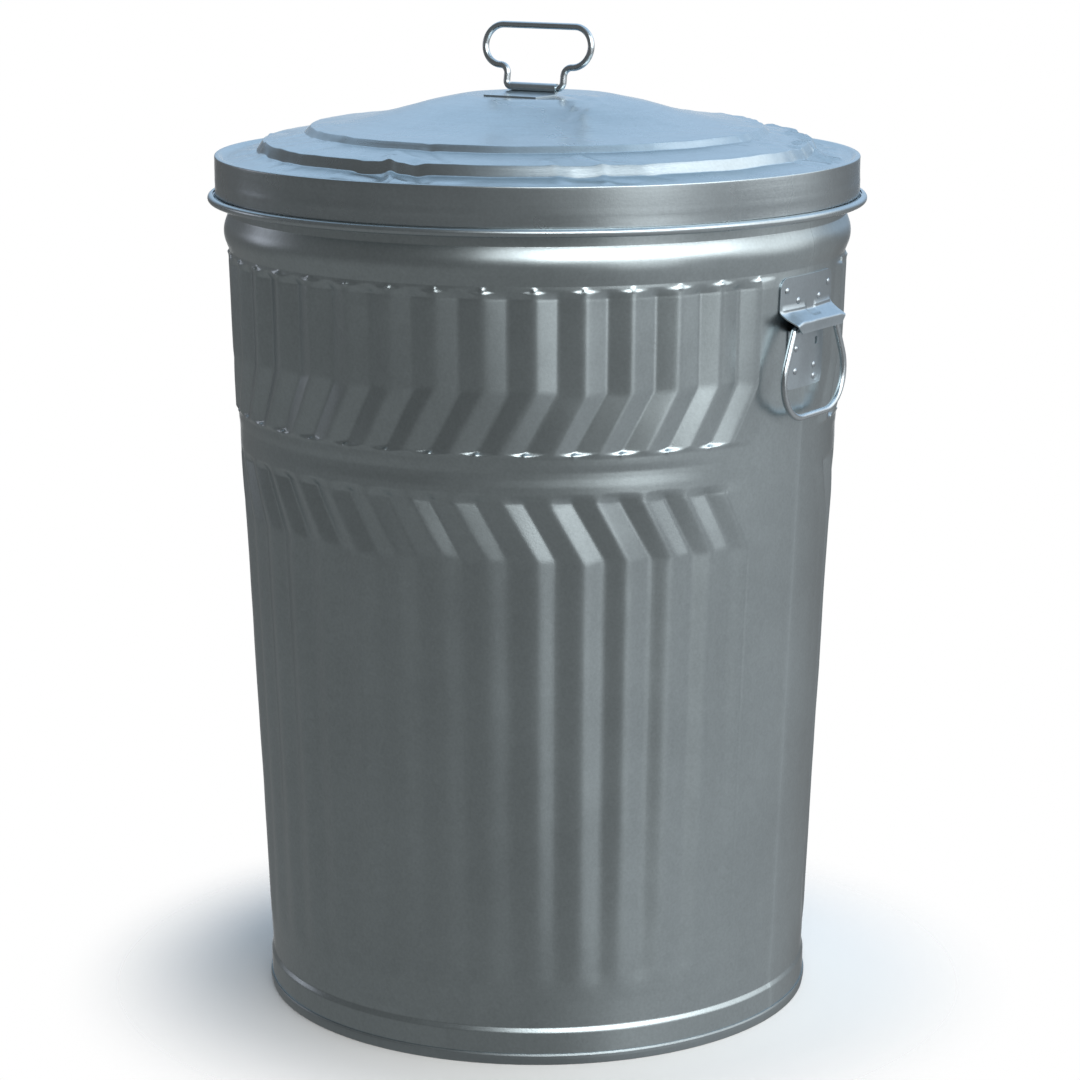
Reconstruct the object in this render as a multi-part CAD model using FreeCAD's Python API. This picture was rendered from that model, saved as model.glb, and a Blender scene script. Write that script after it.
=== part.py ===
import FreeCAD, Part
import math
import os

# Ribbed sheet-steel can with a lift-off lid, two side bails and a wire handle on the lid.
# Millimetres and degrees. Z is up, the origin is the middle of the base on the floor, and +X goes
# through the right side handle. Angles round the can start at -Y and grow towards +X.

V = FreeCAD.Vector
UP = V(0, 0, 1)
CENTRE = V(0, 0, 0)
longest_arc = 100.0         # a rolled edge is drawn in arcs no longer than this

# ---------------------------------------------------------------- driving dimensions
sheet = 0.6                 # wall, pan and lid sheet
sheet_gap = 0.1             # between two layers that lie on each other
loose_gap = 0.35            # between a moving wire and what it turns in

# wall
cone_foot = 226.0           # the wall's cone, carried down to the floor
taper = 0.0454              # growth of the radius per millimetre of height
wall_low = sheet + sheet_gap    # lower edge of the wall, inside the pan's hem
band_low_radius = cone_foot + 2.7   # smooth band above the base
band_radius = cone_foot + 2.9
band_top = 28.0             # the step where the band ends
step_height = 3.0
step_round = 0.8
straight = 1.5              # short upright stretch where two forms of the wall join
rib_foot = 57.0             # lower ends of the long ribs
rib_foot_dip = 0.3
lower_bend = 415.0          # where the long ribs lean over
lower_head = 461.0          # upper ends of the long ribs
waist_low = 473.0           # the groove between the two rows of ribs
waist_high = 491.0
waist_flat = 5.4            # height of the groove's bottom
waist_depth = 2.6
upper_foot = 502.0          # lower ends of the short ribs
upper_bend = 547.0
upper_head = 620.0          # upper ends of the short ribs
rib_runout = 7.5            # height over which a rib's end dies away
neck_low_radius = cone_foot + 27.6  # outside of the wall where the hoop begins
hoop_low = 629.5            # round hoop under the lid
hoop_high = 659.5
hoop_apex = 5.6             # where the hoop's two slopes would meet, beyond the wall
hoop_round = 24.0
hoop_fillet = 2.5
neck_radius = cone_foot + 28.5      # outside of the wall just under the rolled rim
rim_top = 702.85            # top of the rolled rim

# ribs
rib_count = 18              # on each half of the wall
rib_pitch = 8.68            # degrees between ridges
panel_turn = 1.3            # the ribbed panel isn't quite in the middle of its half
rib_slant = 6.0             # how far a rib leans over, in degrees round the can
lower_crest = 0.7           # ridge above the cone, long ribs
lower_valley = 4.2          # groove below the cone, long ribs
upper_crest = 2.3
upper_valley = 2.7
head_crest = 0.4            # the same two at the top ends of the short ribs
head_valley = 4.4
groove_reach = 62.0         # the waist groove is whole this far from the panel's middle
groove_end = 73.0

# side seams: each half has a strip that lies behind the other half's edge
seam_gap = 0.2
seam_lap = 8.0
seam_root = 9.0

# rolled edges and their wires
rim_wire = 5.1
curl_inner = rim_wire / 2 + 0.2     # inside of the rolled sheet
curl_sweep = 285.0

# bottom pan
pan_height = 18.0
pan_bend = 3.0
hem_height = 8.0
hem_round = 0.5
pan_bead_radius = 150.0     # round stiffening bead in the pan's floor
pan_bead_half = 8.0
pan_bead_top_half = 4.0
pan_bead_rise = 2.5
pan_bead_round = 4.0

# lid
lid_gap = 0.3               # lid above the rim that it rests on
lid_slack = 3.8             # skirt's outside beyond the rolled rim
lid_skirt_radius = neck_radius + 2 * curl_inner + sheet + lid_slack
lid_bead_height = rim_top - 32.35
lid_lip_height = rim_top + 2.65
lid_lip_radius = lid_skirt_radius - 3.8
lid_lip_round = 1.8
lid_gutter_radius = lid_skirt_radius - 7.2
lid_gutter_round = 3.0
ring_outer = lid_skirt_radius - 34.7    # foot of the outer step
ring_outer_low = rim_top + 6.05
ring_outer_high = ring_outer_low + 8.7
ring_inner = ring_outer - 39.2          # foot of the inner step
ring_inner_low = ring_outer_high + 5.6
ring_inner_high = ring_inner_low + 5.6
ring_run = 5.2              # width of a step's slope
ring_round = 2.2
shoulder_radius = ring_inner - 40.5     # the bell between the inner step and the crown
shoulder_height = ring_inner_high + 3.4
shoulder_round = 200.0
slope_radius = shoulder_radius - 30.0
slope_height = shoulder_height + 6.6
brow_radius = slope_radius - 30.0
brow_height = slope_height + 8.4
bell_round = 300.0
crown_radius = brow_radius - 30.0       # flat middle that carries the handle
crown_height = brow_height + 6.0
crown_round = 120.0

# lid handle
lid_wire = 5.5
lid_handle_y = -4.5         # hinge line, just in front of the middle
lid_handle_lean = 9.5       # the loop stands leaning back a little
hinge_gap = 0.05            # the strap grips the wire
strap_sheet = 1.2
strap_half = 25.0
strap_front = -42.0
strap_rise = 1.35           # step up from the lid to the rolled sleeve
strap_rise_front = 9.5      # where the step starts and ends, in front of the hinge line
strap_rise_back = 3.5
strap_round = 1.5
sleeve_sweep = 305.0
wire_end_gap = 0.5          # from a wire's end to the middle of its bar, where the ends meet
wire_bend = 5.0
loop_neck = 27.2            # middle of the wire, from the loop's middle
sleeve_half = loop_neck - wire_bend - 0.3
loop_shoulder = 17.5
loop_neck_round = 7.0
loop_half = 50.8
loop_height = 50.5
loop_round = 16.5

# side handles, drawn at the right side
plate_sheet = 1.0
bail_wire = 5.5
bail_x = cone_foot + 33.0   # hinge line of the bail
bail_z = 584.6
bail_drop = 72.1
bail_bar_half = 33.8
bail_splay = 25.9           # lean of the bail's legs from upright
bail_corner = 25.5
hood_half = 42.5            # half width of the plate and hood
hood_top = 624.0
hood_corner = 9.0
hood_root = 597.2           # where the hood leaves the plate
hood_lip_x = bail_x + bail_wire / 2 + 4.15
hood_lip_top = 589.3
hood_lip_low = 581.0
hood_lip_half = 40.0
hood_lip_low_half = 33.0
hood_bend = 2.1
hood_tuck = 0.5             # share of the hood's reach that it starts behind the plate
notch_half = 7.5
notch_height = 3.0
notch_top = 1.0             # above the line where the hood leaves the plate
notch_reach = 0.75          # share of the hood's reach that the notch is long
clip_half = 29.4
clip_low = 534.0
clip_corner = 6.0
clip_sweep = 200.0
slot_y = 15.0
slot_z = 569.0
slot_width = 4.0
slot_height = 6.0

# rivets, each placed by its offset along Y and its height
rivet_radius = 1.6
rivet_gap = 0.1
rivet_flat = 0.6            # flat on top of the dome
rivet_head = 2.8
rivet_dome = 1.2
rivet_tail = 2.5
rivet_tail_height = 0.8
hood_rivets = ((-34.0, 613.6), (34.0, 613.6), (-18.0, 604.5), (16.0, 604.5))
clip_rivets = ((-17.5, 566.0), (-17.5, 548.0), (12.6, 549.5), (13.0, 540.5))

# ---------------------------------------------------------------- helpers


def at(radius, angle, height):
    """Point at a radius, an angle from -Y towards +X and a height."""
    turn = math.radians(angle)
    return V(radius * math.sin(turn), -radius * math.cos(turn), height)


def on_xz(a, b):
    return V(a, 0, b)


def on_yz(a, b):
    return V(0, a, b)


def line(start, end):
    return Part.LineSegment(start, end).toShape()


def arc(start, middle, end):
    return Part.Arc(start, middle, end).toShape()


def path_edges(corners, place):
    """Lines through (a, b, radius) corners, rounded by tangent arcs; place(a, b) is the point."""
    edges = []
    here = corners[0][:2]
    for before, corner, after in zip(corners, corners[1:], corners[2:]):
        a, b, radius = corner
        back = V(before[0] - a, before[1] - b, 0).normalize()
        ahead = V(after[0] - a, after[1] - b, 0).normalize()
        half = back.getAngle(ahead) / 2
        reach = radius / math.tan(half)
        depth = radius / math.sin(half) - radius
        inward = (back + ahead).normalize()
        start = (a + back.x * reach, b + back.y * reach)
        middle = (a + inward.x * depth, b + inward.y * depth)
        end = (a + ahead.x * reach, b + ahead.y * reach)
        if math.dist(here, start) > 1e-6:
            edges.append(line(place(*here), place(*start)))
        if radius > 0:
            edges.append(arc(place(*start), place(*middle), place(*end)))
        here = end
    edges.append(line(place(*here), place(*corners[-1][:2])))
    return edges


def turn_edges(centre, radius, first, sweep, place):
    """Arcs round a centre, their angles growing from the first axis towards the second."""
    count = math.ceil(abs(sweep) / longest_arc)
    points = []
    for step in range(2 * count + 1):
        turn = math.radians(first + sweep * step / (2 * count))
        a = centre[0] + radius * math.cos(turn)
        b = centre[1] + radius * math.sin(turn)
        points.append(place(a, b))
    return [arc(*points[2 * k:2 * k + 3]) for k in range(count)]


def sheet_face(edges, thickness):
    """Face of even thickness on one side of an open path; the sign chooses the side."""
    return Part.Wire(edges).makeOffset2D(thickness, join=0, fill=True, openResult=True)


def block(face, travel):
    """Prism of a face, half of the travel to each side of where it's drawn."""
    start = face.copy()
    start.translate(travel * -0.5)
    return start.extrude(travel)


def round_wire(corners, place, diameter):
    """Bent round wire along rounded corners."""
    edges = path_edges(corners, place)
    start = place(*corners[0][:2])
    direction = edges[0].tangentAt(edges[0].FirstParameter)
    ring = Part.Wire(Part.Circle(start, direction, diameter / 2).toShape())
    return Part.Wire(edges).makePipeShell([ring], True, False)


def hoop_wire(radius, height):
    return Part.makeTorus(radius, rim_wire / 2, V(0, 0, height), UP)


def turned(shape, angle):
    copy = shape.copy()
    copy.rotate(CENTRE, UP, angle)
    return copy


def full_turn(face):
    return face.revolve(CENTRE, UP, 360)


def save(shape, node):
    shape.exportStep(os.path.join("parts", node + ".step"))
    print(node, len(shape.Solids), "solids", round(shape.Volume), "mm3", shape.isValid())


# ---------------------------------------------------------------- wall, one half
# Each half is a loft between outlines at a few heights. An outline is a plain arc, the ribbed
# curve and another plain arc, outside and inside, with the strip for the seam at its far end.

seam_angle = 90.0
seam_trim = math.degrees(seam_gap / 2 / neck_radius)
half_start = -seam_angle + seam_trim
half_end = seam_angle - seam_trim
lap_end = seam_angle + math.degrees(seam_lap / neck_radius)
root_start = seam_angle - math.degrees(seam_root / neck_radius)
step_radius = cone_foot + taper * (band_top + step_height)
loft_low = band_top + step_height + straight
loft_high = upper_head + rib_runout
curl_middle_x = neck_radius + curl_inner
curl_middle_z = rim_top - curl_inner - sheet

# share of a ridge's height at each share of a pitch from the ridge
RIB_FORM = ((-0.5, 0.0), (-0.42, 0.16), (-0.25, 0.5), (-0.1, 0.8),
            (0.0, 1.0), (0.1, 0.8), (0.25, 0.5), (0.42, 0.16))


def cone(height):
    return cone_foot + taper * height


def handle_wall(height):
    """Outside of the wall between the short ribs' bend and their heads, at the seams."""
    low = cone(upper_bend)
    slope = (neck_low_radius - low) / (upper_head - upper_bend)
    return low + slope * (height - upper_bend)


def wall_levels():
    """Height, plain radius, ridge, groove, waist groove and share of the slant."""
    waist_slope = (waist_high - waist_low - waist_flat) / 2
    return (
        (loft_low, step_radius, 0, 0, 0, 0),
        (rib_foot, cone(rib_foot) - rib_foot_dip, 0, 0, 0, 0),
        (rib_foot + rib_runout, cone(rib_foot + rib_runout), lower_crest, lower_valley, 0, 0),
        (lower_bend, cone(lower_bend), lower_crest, lower_valley, 0, 0),
        (lower_head, cone(lower_head), lower_crest, lower_valley, 0, 1),
        (lower_head + rib_runout, cone(lower_head + rib_runout), 0, 0, 0, 1),
        (waist_low, cone(waist_low), 0, 0, 0, 1),
        (waist_low + waist_slope, cone(waist_low), 0, 0, waist_depth, 1),
        (waist_high - waist_slope, cone(waist_high), 0, 0, waist_depth, 1),
        (waist_high, cone(waist_high), 0, 0, 0, 1),
        (upper_foot - rib_runout, cone(upper_foot - rib_runout), 0, 0, 0, 1),
        (upper_foot, cone(upper_foot), upper_crest, upper_valley, 0, 1),
        (upper_bend, cone(upper_bend), upper_crest, upper_valley, 0, 0),
        (upper_head, neck_low_radius, head_crest, head_valley, 0, 0),
        (loft_high, neck_low_radius, 0, 0, 0, 0),
    )


def rib_stations():
    """Angle, share of the ridge and whether it's the panel's plain edge, across the panel."""
    first = panel_turn - rib_pitch * (rib_count - 1) / 2
    stations = []
    for rib in range(rib_count):
        for phase, share in RIB_FORM:
            left_edge = rib == 0 and phase < 0
            right_edge = rib == rib_count - 1 and phase > 0
            stations.append((first + (rib + phase) * rib_pitch, share, left_edge or right_edge))
    last = first + (rib_count - 0.5) * rib_pitch
    return stations + [(last, 0.0, True)]


def groove_share(angle):
    fade = (groove_end - abs(angle - panel_turn)) / (groove_end - groove_reach)
    return min(1.0, max(0.0, fade))


def wall_curve(level, inset, end, stations):
    """Plain arc, ribbed curve and plain arc at one level, on the outside or the inside."""
    height, plain, crest, valley, waist, slant = level
    lean = rib_slant * slant
    left = stations[0][0] - lean
    right = stations[-1][0] - lean

    def plain_arc(start, stop):
        radius = plain - inset
        return arc(at(radius, start, height), at(radius, (start + stop) / 2, height),
                   at(radius, stop, height))

    if crest == 0 and waist == 0:
        return [plain_arc(half_start, left), plain_arc(left, right), plain_arc(right, end)]
    points = []
    for angle, share, edge in stations:
        rise = crest * share - valley * (0 if edge else 1 - share)
        radius = plain + rise - waist * groove_share(angle) - inset
        points.append(at(radius, angle - lean, height))
    curve = Part.BSplineCurve()
    curve.interpolate(Points=points, Parameters=[station[0] for station in stations])
    return [plain_arc(half_start, left), curve.toShape(), plain_arc(right, end)]


def wall_section(level, stations):
    """Closed outline of one half at one level, with the strip that lies behind the seam."""
    height, plain = level[:2]
    behind = plain - sheet - sheet_gap
    strip_middle = (half_end + lap_end) / 2
    under_middle = (root_start + lap_end) / 2
    outside = wall_curve(level, 0, half_end, stations)
    inside = wall_curve(level, sheet, root_start, stations)
    strip = [
        line(at(plain, half_end, height), at(behind, half_end, height)),
        arc(at(behind, half_end, height), at(behind, strip_middle, height),
            at(behind, lap_end, height)),
        line(at(behind, lap_end, height), at(behind - sheet, lap_end, height)),
        arc(at(behind - sheet, lap_end, height), at(behind - sheet, under_middle, height),
            at(behind - sheet, root_start, height)),
        line(at(behind - sheet, root_start, height), at(plain - sheet, root_start, height)),
    ]
    close = line(at(plain - sheet, half_start, height), at(plain, half_start, height))
    return Part.Wire(outside + strip + inside[::-1] + [close])


def half_turn(face):
    """Turn a profile round one half of the can, from seam to seam."""
    start = turned(face, half_start - seam_angle)
    return start.revolve(CENTRE, UP, half_end - half_start)


def rim_face():
    """Hoop, neck and rolled rim."""
    hoop_middle = (hoop_low + hoop_high) / 2
    edges = path_edges((
        (neck_low_radius, loft_high),
        (neck_low_radius, hoop_low, hoop_fillet),
        (neck_low_radius + hoop_apex, hoop_middle, hoop_round),
        (neck_low_radius, hoop_high, hoop_fillet),
        (neck_radius, curl_middle_z),
    ), on_xz)
    curl = turn_edges((curl_middle_x, curl_middle_z), curl_inner, 180, -curl_sweep, on_xz)
    return sheet_face(edges + curl, sheet)


def band_face():
    """Smooth band at the foot and the step above it."""
    step_top = band_top + step_height
    edges = path_edges((
        (band_low_radius, wall_low),
        (band_radius, band_top, step_round),
        (step_radius, step_top, step_round),
        (step_radius, loft_low),
    ), on_xz)
    return sheet_face(edges, sheet)


def body_half():
    stations = rib_stations()
    sections = [wall_section(level, stations) for level in wall_levels()]
    wall = Part.makeLoft(sections, True, True)
    half = wall.fuse([half_turn(rim_face()), half_turn(band_face())])
    return half.cut(both_sides(rivet_holes()))


# ---------------------------------------------------------------- pan and lid


def bottom_pan():
    """Recessed floor, a leg down inside the wall and a hem that holds the wall's lower edge."""
    floor = pan_height + sheet
    leg = band_low_radius - sheet - sheet_gap
    hem_inner = band_low_radius + sheet_gap
    hem_outer = hem_inner + sheet
    bead_top = floor + pan_bead_rise
    joint = (hem_height + sheet) / 2
    dish = sheet_face(path_edges((
        (0, floor),
        (pan_bead_radius - pan_bead_half, floor, pan_bead_round),
        (pan_bead_radius - pan_bead_top_half, bead_top, pan_bead_round),
        (pan_bead_radius + pan_bead_top_half, bead_top, pan_bead_round),
        (pan_bead_radius + pan_bead_half, floor, pan_bead_round),
        (leg, floor, pan_bend),
        (leg, joint),
    ), on_xz), -sheet)
    hem = Part.Face(Part.Wire(path_edges((
        (leg - sheet, joint),
        (leg - sheet, 0, hem_round),
        (hem_outer, 0, hem_round),
        (hem_outer, hem_height, 0),
        (hem_inner, hem_height, 0),
        (hem_inner, sheet, 0),
        (leg, sheet, 0),
        (leg, joint, 0),
        (leg - sheet, joint),
    ), on_xz)))
    return full_turn(dish).fuse(full_turn(hem))


def lid_shell():
    """Rolled bead, skirt, lip, gutter, two steps and the bell up to the flat crown."""
    bead_x = lid_skirt_radius + curl_inner
    gutter = rim_top + lid_gap + sheet
    bead = turn_edges((bead_x, lid_bead_height), curl_inner, 180 + curl_sweep, -curl_sweep, on_xz)
    top = path_edges((
        (lid_skirt_radius, lid_bead_height),
        (lid_skirt_radius, lid_lip_height, lid_lip_round),
        (lid_lip_radius, lid_lip_height, lid_lip_round),
        (lid_gutter_radius, gutter, lid_gutter_round),
        (curl_middle_x - curl_inner - sheet, gutter, lid_gutter_round),
        (ring_outer, ring_outer_low, ring_round),
        (ring_outer - ring_run, ring_outer_high, ring_round),
        (ring_inner, ring_inner_low, ring_round),
        (ring_inner - ring_run, ring_inner_high, ring_round),
        (shoulder_radius, shoulder_height, shoulder_round),
        (slope_radius, slope_height, bell_round),
        (brow_radius, brow_height, bell_round),
        (crown_radius, crown_height, crown_round),
        (0, crown_height),
    ), on_xz)
    return full_turn(sheet_face(bead + top, sheet))


# ---------------------------------------------------------------- lid handle

sleeve_inner = lid_wire / 2 + hinge_gap
strap_low = crown_height + sheet_gap
lid_hinge_z = strap_low + strap_rise + strap_sheet + sleeve_inner


def lid_handle_strap():
    """Plate on the crown whose back edge is rolled into a sleeve round the wire."""
    top = strap_low + strap_sheet
    plate = path_edges((
        (strap_front, top),
        (lid_handle_y - strap_rise_front, top, strap_round),
        (lid_handle_y - strap_rise_back, top + strap_rise, strap_round),
        (lid_handle_y, top + strap_rise),
    ), on_yz)
    roll = turn_edges((lid_handle_y, lid_hinge_z), sleeve_inner, -90, sleeve_sweep, on_yz)
    strap = block(sheet_face(plate + roll, strap_sheet), V(2 * strap_half, 0, 0))
    sleeve_front = lid_handle_y - strap_rise_back - strap_round
    side = 4 * sleeve_inner
    right = Part.makeBox(strap_half, side, side, V(sleeve_half, sleeve_front, crown_height))
    left = Part.makeBox(strap_half, side, side,
                        V(-sleeve_half - strap_half, sleeve_front, crown_height))
    return strap.cut([right, left])


def lid_handle_wire():
    """Loop that stands up from the sleeve, leaning back a little."""
    lean = math.radians(lid_handle_lean)

    def place(a, b):
        return V(a, lid_handle_y + b * math.sin(lean), lid_hinge_z + b * math.cos(lean))

    right = ((wire_end_gap, 0, 0), (loop_neck, 0, wire_bend),
             (loop_neck, loop_shoulder, loop_neck_round), (loop_half, loop_shoulder, loop_round),
             (loop_half, loop_height, loop_round))
    left = tuple((-a, b, radius) for a, b, radius in reversed(right))
    return round_wire(right + left, place, lid_wire)


# ---------------------------------------------------------------- side handles, right side


def both_sides(shapes):
    return shapes + [turned(shape, 180) for shape in shapes]


def wall_core(offset):
    """The can's inside and wall near the side handles, out to an offset beyond the wall."""
    low = clip_low - clip_corner
    high = hood_top + clip_corner
    core = Part.makeCone(handle_wall(low) + offset, handle_wall(high) + offset, high - low,
                         V(0, 0, low))
    return turned(core, 180)


def wall_patch(corners):
    """Plate that lies on the wall, with an outline given along Y and up."""
    face = Part.Face(Part.Wire(path_edges(corners, on_yz)))
    outline = face.extrude(V(hood_lip_x, 0, 0))
    layer = wall_core(sheet_gap + plate_sheet).cut(wall_core(sheet_gap))
    return layer.common(outline)


def handle_hood():
    """Plate riveted to the wall, bent out at its foot into a hood over the bail's bar."""
    foot = hood_root - plate_sheet
    plate = wall_patch((
        (-hood_half, foot, 0), (-hood_half, hood_top, hood_corner),
        (hood_half, hood_top, hood_corner), (hood_half, foot, 0), (-hood_half, foot, 0)))
    root_x = handle_wall(hood_root) + sheet_gap + plate_sheet
    run = hood_lip_x - root_x
    fall = hood_root - hood_lip_top
    start = root_x - run * hood_tuck
    hood = block(sheet_face(path_edges((
        (start, hood_root + fall * hood_tuck),
        (hood_lip_x, hood_lip_top, hood_bend),
        (hood_lip_x, hood_lip_low),
    ), on_xz), -plate_sheet), V(0, 2 * hood_half, 0))
    side = Part.Face(Part.Wire(path_edges((
        (0, hood_lip_low, 0), (-hood_lip_low_half, hood_lip_low, 0),
        (-hood_lip_half, hood_lip_top, 0), (-hood_half, hood_root, 0),
        (-hood_half, hood_top, 0), (hood_half, hood_top, 0), (hood_half, hood_root, 0),
        (hood_lip_half, hood_lip_top, 0), (hood_lip_low_half, hood_lip_low, 0),
        (0, hood_lip_low, 0)), on_yz)))
    hood = hood.common(side.extrude(V(2 * hood_lip_x, 0, 0)))
    hood = hood.cut(wall_core(sheet_gap + plate_sheet / 2))
    notch = Part.makeBox(run * notch_reach, 2 * notch_half, notch_height,
                         V(start, -notch_half, hood_root + notch_top - notch_height))
    return plate.fuse(hood).cut([notch] + rivet_holes())


def handle_clip():
    """Lower plate that ends in a shelf and a curl round the bail's bar."""
    curl_outer = bail_wire / 2 + loose_gap + plate_sheet
    shelf_low = bail_z - curl_outer
    plate = wall_patch((
        (0, clip_low, 0), (-clip_half, clip_low, clip_corner),
        (-clip_half, shelf_low + plate_sheet, 0), (clip_half, shelf_low + plate_sheet, 0),
        (clip_half, clip_low, clip_corner), (0, clip_low, 0)))
    shelf = line(on_xz(handle_wall(bail_z) - curl_outer, shelf_low), on_xz(bail_x, shelf_low))
    curl = turn_edges((bail_x, bail_z), curl_outer, -90, clip_sweep, on_xz)
    rolled = block(sheet_face([shelf] + curl, plate_sheet), V(0, 2 * clip_half, 0))
    rolled = rolled.cut(wall_core(sheet_gap + plate_sheet / 2))
    slot = Part.makeBox(2 * clip_half, slot_width, slot_height,
                        V(bail_x - clip_half, slot_y - slot_width / 2, slot_z - slot_height / 2))
    return plate.fuse(rolled).cut([slot] + rivet_holes())


def side_bail():
    """Bail that hangs from its bar in the clip."""
    splay = bail_drop * math.tan(math.radians(bail_splay))
    foot = bail_z - bail_drop
    right = ((wire_end_gap, bail_z, 0), (bail_bar_half, bail_z, wire_bend),
             (bail_bar_half + splay, foot, bail_corner))
    left = tuple((-a, b, radius) for a, b, radius in reversed(right))

    def place(a, b):
        return V(bail_x, a, b)

    return round_wire(right + left, place, bail_wire)


def on_wall(shape, spot):
    """Turn a shape drawn up Z from the wall's outside to stand on the wall at a spot."""
    y, z = spot
    slope = math.atan2(neck_low_radius - cone(upper_bend), upper_head - upper_bend)
    radius = handle_wall(z)
    angle = math.asin(y / radius)
    outward = V(math.cos(angle) * math.cos(slope), math.sin(angle) * math.cos(slope),
                -math.sin(slope))
    copy = shape.copy()
    copy.Placement = FreeCAD.Placement(V(radius * math.cos(angle), y, z),
                                       FreeCAD.Rotation(UP, outward))
    return copy


def rivet_holes():
    reach = plate_sheet + sheet + rivet_dome
    drill = Part.makeCylinder(rivet_radius + rivet_gap, 2 * reach, V(0, 0, -reach), UP)
    return [on_wall(drill, spot) for spot in hood_rivets + clip_rivets]


def rivets():
    """Domed rivets through the wall and the handle's plates, spread inside the can."""
    top = sheet_gap + plate_sheet + rivet_gap
    inside = -sheet - rivet_gap
    end = inside - rivet_tail_height
    drop = (rivet_head ** 2 - rivet_flat ** 2 - rivet_dome ** 2) / (2 * rivet_dome)
    first = math.degrees(math.atan2(drop, rivet_head))
    last = math.degrees(math.atan2(drop + rivet_dome, rivet_flat))
    edges = path_edges(((0, end, 0), (rivet_tail, end, 0), (rivet_tail, inside, 0),
                        (rivet_radius, inside, 0), (rivet_radius, top, 0),
                        (rivet_head, top)), on_xz)
    edges += turn_edges((0, top - drop), math.hypot(rivet_head, drop), first, last - first, on_xz)
    edges.append(line(on_xz(rivet_flat, top + rivet_dome), on_xz(0, top + rivet_dome)))
    edges.append(line(on_xz(0, top + rivet_dome), on_xz(0, end)))
    rivet = full_turn(Part.Face(Part.Wire(edges)))
    return [on_wall(rivet, spot) for spot in hood_rivets + clip_rivets]


# ---------------------------------------------------------------- the pieces

os.makedirs("parts", exist_ok=True)

front = body_half()
save(front, "body_shell_front")
save(turned(front, 180), "body_shell_rear")
save(hoop_wire(curl_middle_x, curl_middle_z), "body_rim_wire")
save(bottom_pan(), "bottom_pan")
save(lid_shell(), "lid_shell")
save(hoop_wire(lid_skirt_radius + curl_inner, lid_bead_height), "lid_rim_wire")
save(lid_handle_strap(), "lid_handle_strap")
save(lid_handle_wire(), "lid_handle_wire")

SIDE_PIECES = {
    "handle_hood": handle_hood(),
    "handle_clip": handle_clip(),
    "handle_rivets": Part.makeCompound(rivets()),
    "side_bail": side_bail(),
}
for name, piece in SIDE_PIECES.items():
    save(piece, name + "_right")
    save(turned(piece, 180), name + "_left")
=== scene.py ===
import math

import bpy
import numpy as np
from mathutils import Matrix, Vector, noise


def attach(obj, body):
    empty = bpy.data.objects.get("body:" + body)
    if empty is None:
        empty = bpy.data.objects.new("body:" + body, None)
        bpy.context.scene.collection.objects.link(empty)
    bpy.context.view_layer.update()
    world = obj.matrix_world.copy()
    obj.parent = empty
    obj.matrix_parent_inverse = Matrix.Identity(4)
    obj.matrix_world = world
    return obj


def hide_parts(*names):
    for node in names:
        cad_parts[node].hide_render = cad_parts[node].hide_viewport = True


# A ribbed galvanised can with a stepped lid. Everything is in millimetres until a mesh is made,
# and angles round the can start at -Y and grow towards +X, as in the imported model.

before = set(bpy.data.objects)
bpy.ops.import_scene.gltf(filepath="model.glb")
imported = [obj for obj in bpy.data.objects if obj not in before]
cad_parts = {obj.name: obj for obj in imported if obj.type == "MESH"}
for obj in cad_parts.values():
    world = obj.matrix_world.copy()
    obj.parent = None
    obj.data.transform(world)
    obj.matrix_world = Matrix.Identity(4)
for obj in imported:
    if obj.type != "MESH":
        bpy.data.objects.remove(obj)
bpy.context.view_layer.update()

MM = 0.001

# ---------------------------------------------------------------- sizes shared with the model
SHEET = 0.6
PLATE_SHEET = 1.0
SEAM_HALF = 0.1                 # half of the gap between the wall's two halves
RIB_COUNT = 18
RIB_PITCH = 8.68                # degrees
PANEL_TURN = 1.3                # degrees from -Y to the middle of the ribbed panel
RIB_SLANT = 6.0                 # degrees that a rib steps aside at a chevron row
PANEL_HALF = RIB_PITCH * RIB_COUNT / 2
SEAM = 90.0
WALL_MIDDLE = 250.0             # radius at which lengths round the wall are measured
WALL_HEAD = 628.0               # where the ribbed wall ends and the hoop starts
NECK = 254.5
CURL_INNER = 2.75
CURL_SWEEP = 285.0
RIM_TOP = 702.85
LID_SKIRT = 264.4
LID_BEAD_Z = 671.3
LID_LIP_Z = 706.1
BAIL_X = 259.0
BAIL_Z = 584.6
BAIL_DROP = 72.1
BAIL_BAR_HALF = 33.8
BAIL_SPLAY = 25.9
BAIL_BEND = 5.0
BAIL_CORNER = 31.0
BAIL_WIRE = 5.5
HOOD_PLATE = 253.9              # outside of the plate where the hood leaves it
HOOD_TOP = 624.0
HOOD_ROOT = 597.2
HOOD_HALF = 42.5
HOOD_CORNER = 9.0
HOOD_LIP = 265.9
HOOD_LIP_TOP = 589.3
HOOD_LIP_LOW = 581.0
HOOD_LIP_HALF = 40.0
HOOD_LIP_LOW_HALF = 33.0
PLATE_LEAN = 0.032              # how much the plate leans out per millimetre of height

# ---------------------------------------------------------------- mesh helpers

SHARP_ANGLE = 50.0              # degrees; a sheet's edges stay crisp above it


def add_piece(name, points, faces, body, material, sharp=None):
    """Smooth mesh of points in millimetres, riding on a body unless it is part of the stage."""
    mesh = bpy.data.meshes.new(name)
    mesh.from_pydata((points * MM).tolist(), [], faces)
    mesh.polygons.foreach_set("use_smooth", np.ones(len(faces), bool))
    mesh.update()
    if sharp:
        mesh.set_sharp_from_angle(angle=math.radians(sharp))
    piece = bpy.data.objects.new(name, mesh)
    bpy.context.scene.collection.objects.link(piece)
    mesh.materials.append(material)
    if body:
        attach(piece, body)
    return piece


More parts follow.
